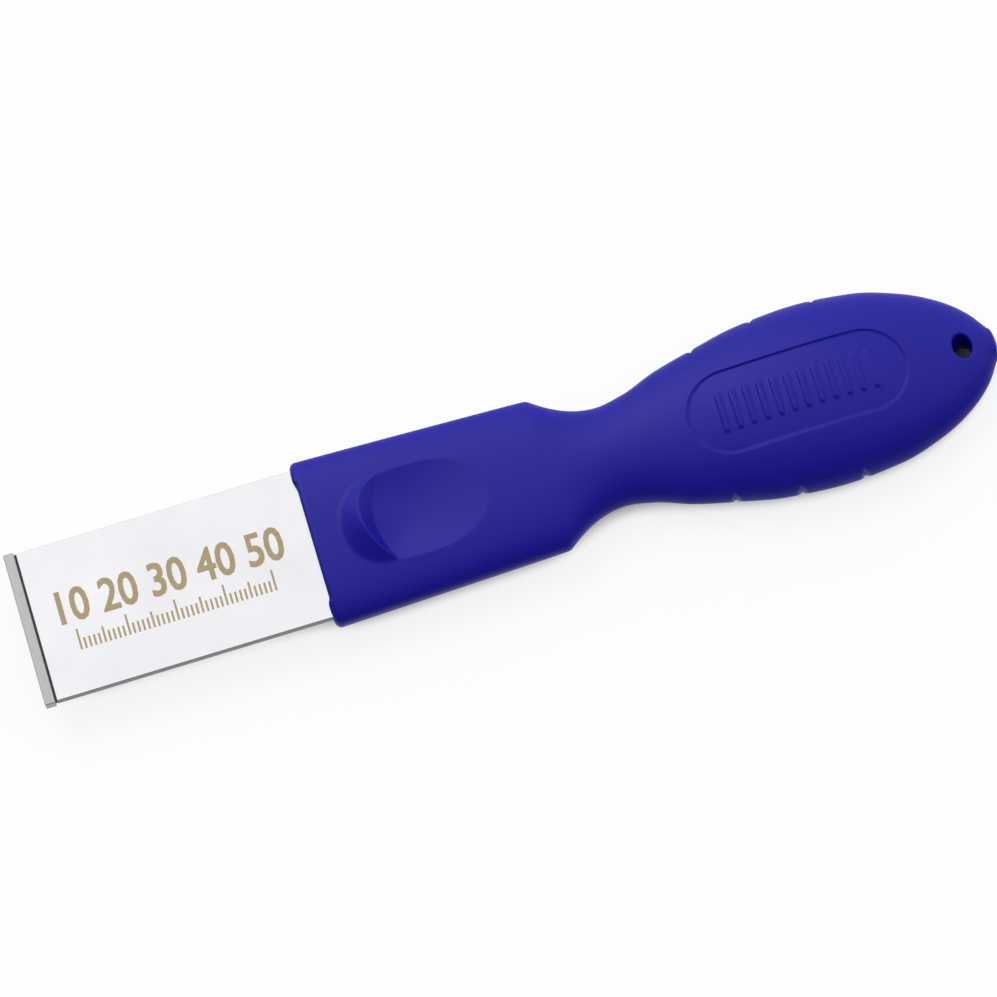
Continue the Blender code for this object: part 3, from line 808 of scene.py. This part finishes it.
quarter = np.linspace(0, math.pi / 2, MOUTH_RINGS)
mouth_rings = [end_ring(MOUTH + MOUTH_ROUND * (1 - math.cos(turn))) for turn in quarter]
mouth_rings += [end_ring(x) for x in (PAST_ROUND, NET_START)]
nose_rings = [end_ring(x) for x in NOSE_XS]
for turn in np.radians(NOSE_TURNS):
    ring = end_ring(NOSE, math.cos(turn))
    ring[:, 0] += (END - NOSE) * math.sin(turn)
    nose_rings.append(ring)
centre = np.array([MOUTH, 0.0, BLADE_Z - MOUTH_MIDDLE_DROP])
cap = [centre + (mouth_rings[0] - centre) * (1, share, share) for share in CAP_SHARES]
mouth_rings = [notched(ring) for ring in cap[::-1] + mouth_rings]
print(len(mouth_rings), "rings at the mouth and", len(nose_rings), "at the nose")

# %% [markdown]
# ## Sewing the skin together
#
# The net, the side rows and the end rings meet point for point, so merging points that share a place
# closes the skin. Its underside is then cut level, and the blade's pocket and the hang hole are cut
# with solid tools. The pocket follows the blade and its tang with a small clearance, and runs out
# through the mouth. A cut can leave slivers without an area, so a last step clears them away. The
# shading is smooth, except where a real edge turns sharply.

# %% Sew the skin
SEW_GAP = 0.004


def sheet(bm, lines, closed):
    """Faces between lines of points that have the same count."""
    verts = [[bm.verts.new(Vector(p) * MM) for p in line] for line in lines]
    count = len(lines[0])
    for near, far in zip(verts, verts[1:]):
        for i in range(count if closed else count - 1):
            j = (i + 1) % count
            bm.faces.new((near[i], near[j], far[j], far[i]))
    return verts


def open_edges(bm):
    """How many edges don't join exactly two faces; a closed solid has none."""
    return sum(1 for e in bm.edges if len(e.link_faces) != 2)


bm = bmesh.new()
heights = skin_height(plan[:, 0], plan[:, 1])
lifted = [bm.verts.new((x * MM, y * MM, z * MM)) for (x, y), z in zip(plan, heights)]
for corners in flat[2]:
    bm.faces.new([lifted[i] for i in corners])
sheet(bm, side_rows, False)
front = sheet(bm, mouth_rings, True)
back = sheet(bm, nose_rings, True)
bm.faces.new(front[0])
bm.faces.new(back[-1])
bmesh.ops.remove_doubles(bm, verts=bm.verts[:], dist=SEW_GAP * MM)
print("edges left open in the sewn skin:", open_edges(bm))
everything = bm.verts[:] + bm.edges[:] + bm.faces[:]
cut = bmesh.ops.bisect_plane(
    bm, geom=everything, plane_co=(0, 0, 0), plane_no=(0, 0, -1), clear_outer=True
)
bmesh.ops.holes_fill(bm, edges=[e for e in cut["geom_cut"] if isinstance(e, bmesh.types.BMEdge)], sides=0)
bmesh.ops.recalc_face_normals(bm, faces=bm.faces)
mesh = bpy.data.meshes.new("handle_skin")
bm.to_mesh(mesh)
bm.free()
handle = add_object("handle_skin", mesh)
print("sewn skin:", len(mesh.polygons), "faces")

# %% Tools for cutting
WELD, SLIVER = 0.002, 0.001


def prism(name, corners, low, high):
    """An upright block on a plan outline, in mm."""
    count = len(corners)
    verts = [(x * MM, y * MM, z * MM) for z in (low, high) for x, y in corners]
    sides = [(i, (i + 1) % count, count + (i + 1) % count, count + i) for i in range(count)]
    faces = sides + [tuple(range(count))[::-1], tuple(range(count, 2 * count))]
    made = bpy.data.meshes.new(name)
    made.from_pydata(verts, [], faces)
    return add_object(name, made)


def cut_away(target, tool):
    """Cuts the tool from the target, then clears the tool away."""
    step = target.modifiers.new(tool.name, "BOOLEAN")
    step.operation, step.solver, step.object = "DIFFERENCE", "EXACT", tool
    shaped = target.evaluated_get(bpy.context.evaluated_depsgraph_get())
    target.data = bpy.data.meshes.new_from_object(shaped)
    target.modifiers.remove(step)
    bpy.data.objects.remove(tool)


def clear_slivers(piece):
    """Welds points that share a place and drops faces without an area."""
    bm = bmesh.new()
    bm.from_mesh(piece.data)
    bmesh.ops.remove_doubles(bm, verts=bm.verts[:], dist=WELD * MM)
    bmesh.ops.dissolve_degenerate(bm, edges=bm.edges[:], dist=SLIVER * MM)
    print("edges left open in", piece.name + ":", open_edges(bm))
    bm.to_mesh(piece.data)
    bm.free()


print("points closer than", WELD, "mm are welded")

# %% Cut the pocket and the hang hole, and finish the skin
POCKET_SIDE = [(-60.0, 16.025), (-36.85, 16.025), (-32.95, 12.125), (-3.85, 12.125), (1.15, 7.125)]
POCKET_HALF, BORE_LOW, BORE_HIGH, SHARP_ANGLE = 1.15, -2.0, 16.0, 45
pocket = POCKET_SIDE + [(x, -y) for x, y in POCKET_SIDE[::-1]]
pocket_tool = prism("pocket", pocket[::-1], BLADE_Z - POCKET_HALF, BLADE_Z + POCKET_HALF)
cut_away(handle, pocket_tool)
turns = np.linspace(0, math.tau, HOLE_POINTS, endpoint=False)
bore = [(HOLE + HOLE_ALONG * math.cos(turn), HOLE_ACROSS * math.sin(turn)) for turn in turns]
cut_away(handle, prism("bore", bore, BORE_LOW, BORE_HIGH))
clear_slivers(handle)
handle.data.materials.clear()
handle.data.materials.append(plastic)
handle.data.shade_smooth()
handle.data.set_sharp_from_angle(angle=math.radians(SHARP_ANGLE))
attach(handle, "root")
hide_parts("handle")
print("handle skin:", len(handle.data.polygons), "faces")

# %% [markdown]
# ## Ink, pad printed
#
# A plain depth scale is printed on the blade: a tick for each millimetre from 10 to 50 mm behind the
# cutting edge, and a number every ten. A silicone pad lays down a film of enamel ink about 15
# micrometres thick. The eye gets a matt tan gold beside the bright steel, a little uneven. The
# numbers are text turned into flat faces, and the ticks are strips. Bold numbers read well at arm's
# length, so each number is drawn four times, a little off to each corner, and the overlapping faces
# are joined in plan. The joined faces are then raised into closed solids, which start a little
# below the steel's surface so that no gap shows. Three points are enough for each bend of a figure
# so small.

# %% Ink
INK_CLOUD = 0.7143
ink, tree, out = new_material("Gold enamel ink, pad printed")
place = add_node(tree, "ShaderNodeTexCoord")
film = add_node(
    tree, "ShaderNodeTexNoise", {"Scale": repeats(INK_CLOUD), "Detail": 2.0},
    {"Vector": place.outputs["Object"]},
)
tint = add_node(
    tree, "ShaderNodeMix", {6: hex_colour("a8966a"), 7: hex_colour("b8a67c")},
    {0: film.outputs["Fac"]}, data_type="RGBA",
)
face = add_node(tree, "ShaderNodeBsdfPrincipled", {"Roughness": 0.5}, {"Base Color": tint.outputs[2]})
tree.links.new(face.outputs[0], out.inputs["Surface"])
print("ink film varies every", round(INK_CLOUD, 1), "mm")

# %% Numbers and solids of ink
BLADE_TOP, INK_LOW, INK_HIGH = 8.2, -0.005, 0.015
NUMBER_SIZE, NUMBER_NARROW, BEND_POINTS = 9.8, 0.8, 3
SMALLEST_FACE, FLAT_ANGLE = 1e-6, 1.0


def number_faces(body, x, y):
    """The flat faces of a number centred on x, as lists of corners in mm; empty ones are left out."""
    words = bpy.data.curves.new("number", "FONT")
    words.body, words.align_x = body, "CENTER"
    words.size, words.resolution_u = NUMBER_SIZE, BEND_POINTS
    holder = add_object("number", words)
    filled = holder.evaluated_get(bpy.context.evaluated_depsgraph_get())
    flat_mesh = bpy.data.meshes.new_from_object(filled)
    places = [(x + v.co.x * NUMBER_NARROW, y + v.co.y) for v in flat_mesh.vertices]
    real = [polygon for polygon in flat_mesh.polygons if polygon.area > SMALLEST_FACE]
    faces = [[places[i] for i in polygon.vertices] for polygon in real]
    bpy.data.objects.remove(holder)
    bpy.data.meshes.remove(flat_mesh)
    return faces


def joined_faces(outlines):
    """The faces that overlapping outlines cover together, as points and triangles in plan."""
    ends = np.cumsum([len(outline) for outline in outlines])
    faces = [list(range(end - len(outline), end)) for outline, end in zip(outlines, ends)]
    corners = [Vector(corner) for outline in outlines for corner in outline]
    points, _, triangles, _, _, sources = delaunay_2d_cdt(corners, [], faces, INSIDE_ONLY, SAME_POINT)
    return points, [triangle for triangle, origin in zip(triangles, sources) if origin]


def ink_solid(name, outlines):
    """Closed solids raised from flat outlines."""
    points, faces = joined_faces(outlines)
    whole = bmesh.new()
    verts = [whole.verts.new((x * MM, y * MM, (BLADE_TOP + INK_LOW) * MM)) for x, y in points]
    for face in faces:
        whole.faces.new([verts[i] for i in face])
    loose = [vert for vert in verts if not vert.link_faces]
    bmesh.ops.delete(whole, geom=loose, context="VERTS")
    bmesh.ops.remove_doubles(whole, verts=whole.verts[:], dist=WELD * MM)
    bmesh.ops.dissolve_limit(
        whole, verts=whole.verts[:], edges=whole.edges[:], angle_limit=math.radians(FLAT_ANGLE)
    )
    raised = bmesh.ops.extrude_face_region(whole, geom=whole.faces[:], use_keep_orig=True)["geom"]
    for item in raised:
        if isinstance(item, bmesh.types.BMVert):
            item.co.z = (BLADE_TOP + INK_HIGH) * MM
    bmesh.ops.recalc_face_normals(whole, faces=whole.faces)
    print("edges left open in", name + ":", open_edges(whole))
    made = bpy.data.meshes.new(name)
    whole.to_mesh(made)
    whole.free()
    return add_object(name, made)


print("the ink stands", INK_HIGH, "mm above the blade")

# %% Depth scale on the blade
EDGE_X, FIRST_MARK, LAST_MARK, NUMBER_STEP = -100.0, 10, 50, 10
NUMBER_Y, TICK_Y, TICK_WIDTH, BOLD = -1.1, -7.2, 0.42, 0.15
TICK_LONG, TICK_SHORT = {0: 4.4, 5: 3.4}, 2.3
outlines = []
for mark in range(FIRST_MARK, LAST_MARK + 1):
    x, long = EDGE_X + mark, TICK_LONG.get(mark % NUMBER_STEP, TICK_SHORT)
    left, right = x - TICK_WIDTH / 2, x + TICK_WIDTH / 2
    outlines.append([(left, TICK_Y), (right, TICK_Y), (right, TICK_Y + long), (left, TICK_Y + long)])
    if mark % NUMBER_STEP == 0:
        for off_x, off_y in ((BOLD, BOLD), (-BOLD, BOLD), (BOLD, -BOLD), (-BOLD, -BOLD)):
            outlines += number_faces(str(mark), x + off_x, NUMBER_Y + off_y)
depth_scale = ink_solid("depth_scale", outlines)
depth_scale.data.materials.append(ink)
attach(depth_scale, "root")
print("depth scale:", len(depth_scale.data.polygons), "faces")
